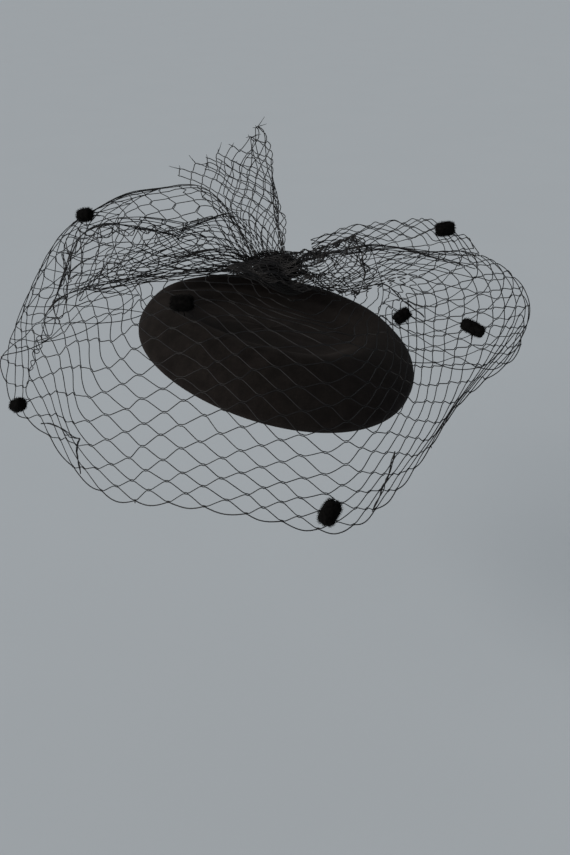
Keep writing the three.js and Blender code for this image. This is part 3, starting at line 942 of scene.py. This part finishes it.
def ring_faces(count):
    """Faces between rings of points, closed by two fans to the two points after them."""
    faces = []
    for ring in range(count - 1):
        low, high = ring * HAT_SIDES, (ring + 1) * HAT_SIDES
        for place in range(HAT_SIDES):
            following = (place + 1) % HAT_SIDES
            faces.append([low + place, high + place, high + following, low + following])
    last, top = (count - 1) * HAT_SIDES, count * HAT_SIDES
    for place in range(HAT_SIDES):
        following = (place + 1) % HAT_SIDES
        faces.append([top, place, following])
        faces.append([top + 1, last + following, last + place])
    return faces


def make_felt(material):
    """Felt shell of even thickness, hollow and open below, with a soft round edge."""
    outer, inner = felt_faces()
    rings = np.concatenate([outer[::-1], felt_lip(outer[0], inner[0]), inner])
    tops = np.array([outer[-1].mean(axis=0), inner[-1].mean(axis=0)])
    shape = Shape()
    shape.add(worn(np.concatenate([rings.reshape(-1, 3), tops])), ring_faces(len(rings)))
    shape.piece("felt_shell", material, "felt", "hat_base")


# Chenille dots

def dot_axes(node):
    """Middle, unit axis with two unit radii, half length and radius of a dot's solid."""
    points = np.array([vertex.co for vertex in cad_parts[node].data.vertices]) / MM
    low, high = (np.array(corner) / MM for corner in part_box(node))
    middle = (low + high) / 2
    axes = np.linalg.svd(points - middle, full_matrices=False)[2]
    half = np.abs((points - middle) @ axes[0]).max()
    radius = np.linalg.norm((points - middle) @ axes[1:].T, axis=1).max()
    return middle, axes, half, radius


def add_ties(shape, middle, axes, strands):
    """Threads from a dot's middle to the nearest places on the net's strands."""
    away = np.linalg.norm(strands - middle, axis=1)
    for _ in range(TIES):
        nearest = away.argmin()
        if away[nearest] > TIE_REACH:
            return
        way = strands[nearest] - middle
        up = axes[np.abs(axes @ way).argmin()]
        shape.tube(middle + np.linspace(0, 1, TIE_POINTS)[:, None] * way, up, STRAND)
        away[np.linalg.norm(strands - strands[nearest], axis=1) < TIE_APART] = np.inf


def add_core(shape, middle, axes, half, radius):
    """Solid core of a dot, narrower at its ends."""
    place, size = np.transpose(CORE_PROFILE)
    path = middle + place[:, None] * half * axes[0]
    up = np.broadcast_to(axes[1], path.shape)
    shape.tube(path, up, CORE_SHARE * radius * size, sides=CORE_SIDES)


def add_pile(shape, random, middle, axes, half, radius):
    """Pile of a dot: fibres in tufts wound round it, brushed out at both ends."""
    tuft = np.arange(TUFTS)
    along = -TUFTS_TO + 2 * TUFTS_TO * tuft / TUFTS + random.normal(0, TUFT_ALONG_STRAY, TUFTS)
    turn = tuft * TUFT_TURN + random.normal(0, TUFT_TURN_STRAY, TUFTS)
    reach = random.normal(1.0, TUFT_REACH_STRAY, TUFTS)
    along, turn, reach = (np.repeat(values, TUFT_FIBRES) for values in (along, turn, reach))
    count = len(along)
    lean = np.sign(along) * np.clip(np.abs(along) - BRUSHED_FROM, 0, 1) * BRUSHED_LEAN
    lean = lean + random.normal(0, FIBRE_LEAN_STRAY, count)
    radial = np.cos(turn)[:, None] * axes[1] + np.sin(turn)[:, None] * axes[2]
    way = unit(radial + lean[:, None] * axes[0] + random.normal(0, FIBRE_STRAY, (count, 3)))
    seat = middle + (ROOT_ALONG * along * half)[:, None] * axes[0]
    root = seat + random.normal(0, TUFT_SPREAD / 2, (count, 3))
    tip_radius = (radius + PILE_PROUD * random.uniform(-1, 1, count)) * reach
    tip_share = 1 - TIPS_FALL * np.clip(np.abs(along) - TIPS_FROM, 0, 1) / TIPS_OVER
    tip = seat + way * (tip_radius * tip_share)[:, None]
    side = unit(np.cross(way, random.normal(0, 1, (count, 3))))
    over = np.cross(way, side)
    start = root + way * (ROOT_DEPTH * radius)
    corners = [
        start + FIBRE_RADIUS * (math.cos(corner) * side + math.sin(corner) * over)
        for corner in FIBRE_CORNERS
    ]
    points = np.stack([*corners, tip], axis=1)
    first = points.shape[1] * np.arange(count)[:, None]
    shape.add(points, np.concatenate([first + np.array(face) for face in FIBRE_FACES]))


def make_dot(name, material, seed, strands):
    """Short drum of chenille, tied to the strands that it lies on."""
    dot = dot_axes(name)
    shape = Shape()
    add_core(shape, *dot)
    add_pile(shape, np.random.default_rng(seed), *dot)
    middle, axes, *_ = dot
    add_ties(shape, middle, axes, strands)
    shape.piece(name + "_pile", material, "chenille", name)


# Materials

def shader(name, roughness, specular):
    """New node material and its surface shader, with the values that hold all over it."""
    material = bpy.data.materials.new(name)
    material.use_nodes = True
    surface = material.node_tree.nodes["Principled BSDF"]
    surface.inputs["Roughness"].default_value = roughness
    surface.inputs["Specular IOR Level"].default_value = specular
    return material, surface


def noise(tree, scale, detail, stretch=(1, 1, 1)):
    """Noise in the object's own space, with scale in features per metre."""
    place = tree.nodes.new("ShaderNodeTexCoord")
    mapping = tree.nodes.new("ShaderNodeMapping")
    mapping.inputs["Scale"].default_value = stretch
    texture = tree.nodes.new("ShaderNodeTexNoise")
    texture.inputs["Scale"].default_value = scale
    texture.inputs["Detail"].default_value = detail
    tree.links.new(place.outputs["Object"], mapping.inputs["Vector"])
    tree.links.new(mapping.outputs["Vector"], texture.inputs["Vector"])
    return texture.outputs["Fac"]


def paint(tree, surface, value, *stops):
    """Colour of a surface by a ramp over a value, with stops as position and colour."""
    node = tree.nodes.new("ShaderNodeValToRGB")
    elements = node.color_ramp.elements
    while len(elements) < len(stops):
        elements.new(1.0)
    for element, (position, colour) in zip(elements, stops):
        element.position = position
        element.color = (*colour, 1.0)
    tree.links.new(value, node.inputs["Fac"])
    tree.links.new(node.outputs["Color"], surface.inputs["Base Color"])


def combine(tree, operation, first, second):
    """Two values joined by a mathematical operation."""
    node = tree.nodes.new("ShaderNodeMath")
    node.operation = operation
    tree.links.new(first, node.inputs[0])
    tree.links.new(second, node.inputs[1])
    return node.outputs["Value"]


def bump(tree, surface, height, strength, distance):
    """Fine relief on a surface, with its depth in metres."""
    node = tree.nodes.new("ShaderNodeBump")
    node.inputs["Strength"].default_value = strength
    node.inputs["Distance"].default_value = distance
    tree.links.new(height, node.inputs["Height"])
    tree.links.new(node.outputs["Normal"], surface.inputs["Normal"])


def felt_material():
    """Black wool felt: matted fibres in three directions, a mottled nap and a soft sheen."""
    material, surface = shader("black_felt", roughness=0.92, specular=0.1)
    tree = material.node_tree
    surface.inputs["Sheen Weight"].default_value = 0.05
    surface.inputs["Sheen Roughness"].default_value = 0.55
    surface.inputs["Sheen Tint"].default_value = (0.55, 0.47, 0.43, 1.0)
    mottle = noise(tree, scale=130, detail=4)
    fibres = noise(tree, scale=900, detail=3, stretch=(1, 0.18, 1))
    for stretch in ((0.18, 1, 1), (1, 1, 0.18)):
        fibres = combine(tree, "MAXIMUM", fibres, noise(tree, scale=900, detail=3, stretch=stretch))
    both = combine(tree, "MULTIPLY", mottle, fibres)
    paint(tree, surface, both, (0.18, (0.0046, 0.0037, 0.0034)), (0.42, (0.0102, 0.0083, 0.0076)))
    bump(tree, surface, fibres, strength=0.35, distance=0.0004)
    return material


def net_material(name, gloss):
    """Black nylon thread with a fine twist and a dull gloss."""
    material, surface = shader(name, roughness=0.5, specular=gloss)
    tree = material.node_tree
    twist = noise(tree, scale=1600, detail=2)
    paint(tree, surface, twist, (0.3, (0.0035, 0.0035, 0.004)), (0.7, (0.011, 0.0108, 0.0115)))
    bump(tree, surface, twist, strength=0.3, distance=0.0002)
    return material


def chenille_material():
    """Dense black pile, finely mottled, with hardly any sheen."""
    material, surface = shader("black_chenille", roughness=0.9, specular=0.04)
    tree = material.node_tree
    surface.inputs["Sheen Weight"].default_value = 0.012
    surface.inputs["Sheen Roughness"].default_value = 0.5
    pile = noise(tree, scale=700, detail=3)
    paint(tree, surface, pile, (0.3, (0.0008, 0.0008, 0.0009)), (0.7, (0.0040, 0.0038, 0.0037)))
    bump(tree, surface, pile, strength=0.4, distance=0.0003)
    return material


def comb_material():
    """Dark moulded plastic with a faint swirl."""
    material, surface = shader("comb_plastic", roughness=0.3, specular=0.5)
    tree = material.node_tree
    swirl = noise(tree, scale=60, detail=5, stretch=(1, 3, 1))
    paint(tree, surface, swirl, (0.35, (0.006, 0.005, 0.0045)), (0.65, (0.022, 0.014, 0.010)))
    bump(tree, surface, noise(tree, scale=900, detail=2), strength=0.05, distance=0.0002)
    return material


def floor_material():
    """Pale matt studio floor."""
    material, surface = shader("pale_floor", roughness=0.85, specular=0.2)
    tree = material.node_tree
    grain = noise(tree, scale=6, detail=4)
    paint(tree, surface, grain, (0.35, (0.612, 0.667, 0.712)), (0.65, (0.618, 0.673, 0.718)))
    return material


# Stage

def make_stage():
    """Plain floor below the object."""
    half = FLOOR_SIZE / 2
    mesh = bpy.data.meshes.new("floor")
    sides = ((-half, -half), (half, -half), (half, half), (-half, half))
    corners = [(right, back, FLOOR_AT) for right, back in sides]
    mesh.from_pydata(corners, [], [(0, 1, 2, 3)])
    mesh.materials.append(floor_material())
    floor = bpy.data.objects.new("floor", mesh)
    bpy.context.scene.collection.objects.link(floor)


def make_lights():
    """Even light from all round and one broad key."""
    world = bpy.data.worlds.new("soft_studio")
    bpy.context.scene.world = world
    world.use_nodes = True
    background = world.node_tree.nodes["Background"]
    background.inputs["Color"].default_value = WORLD_COLOUR
    background.inputs["Strength"].default_value = WORLD_STRENGTH
    key = bpy.data.lights.new("key", "SUN")
    key.angle = math.radians(KEY_SOFTNESS)
    key.energy = KEY_STRENGTH
    key.color = KEY_COLOUR
    lamp = bpy.data.objects.new("key", key)
    lamp.rotation_euler = (-Vector(KEY_FROM)).to_track_quat("-Z", "Y").to_euler()
    bpy.context.scene.collection.objects.link(lamp)


def make_camera():
    """Camera at the photograph's angle."""
    bpy.context.scene.view_settings.view_transform = "Standard"
    camera = bpy.data.cameras.new("camera")
    camera.lens = CAMERA_LENS
    camera.clip_start = CAMERA_CLIP
    seat = bpy.data.objects.new("camera", camera)
    seat.location = Vector(CAMERA_AT) * MM
    seat.rotation_euler = (math.radians(90 - CAMERA_ELEVATION), 0, 0)
    bpy.context.scene.collection.objects.link(seat)
    bpy.context.scene.camera = seat


make_camera()
make_stage()
make_lights()
net = net_material("black_net", NET_GLOSS)
make_felt(felt_material())
veil_strands = make_veil(net)
make_spray(net)
make_ruffle(net)
flap_strands = make_flap(net)
make_knot(net_material("knot_net", KNOT_GLOSS))
pile = chenille_material()
dotted_strands = np.concatenate([veil_strands, flap_strands])
for index, dot in enumerate(DOTS):
    make_dot(dot, pile, seed=DOT_SEED + index, strands=dotted_strands)
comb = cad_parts["comb"]
comb.data.materials.clear()
comb.data.materials.append(comb_material())
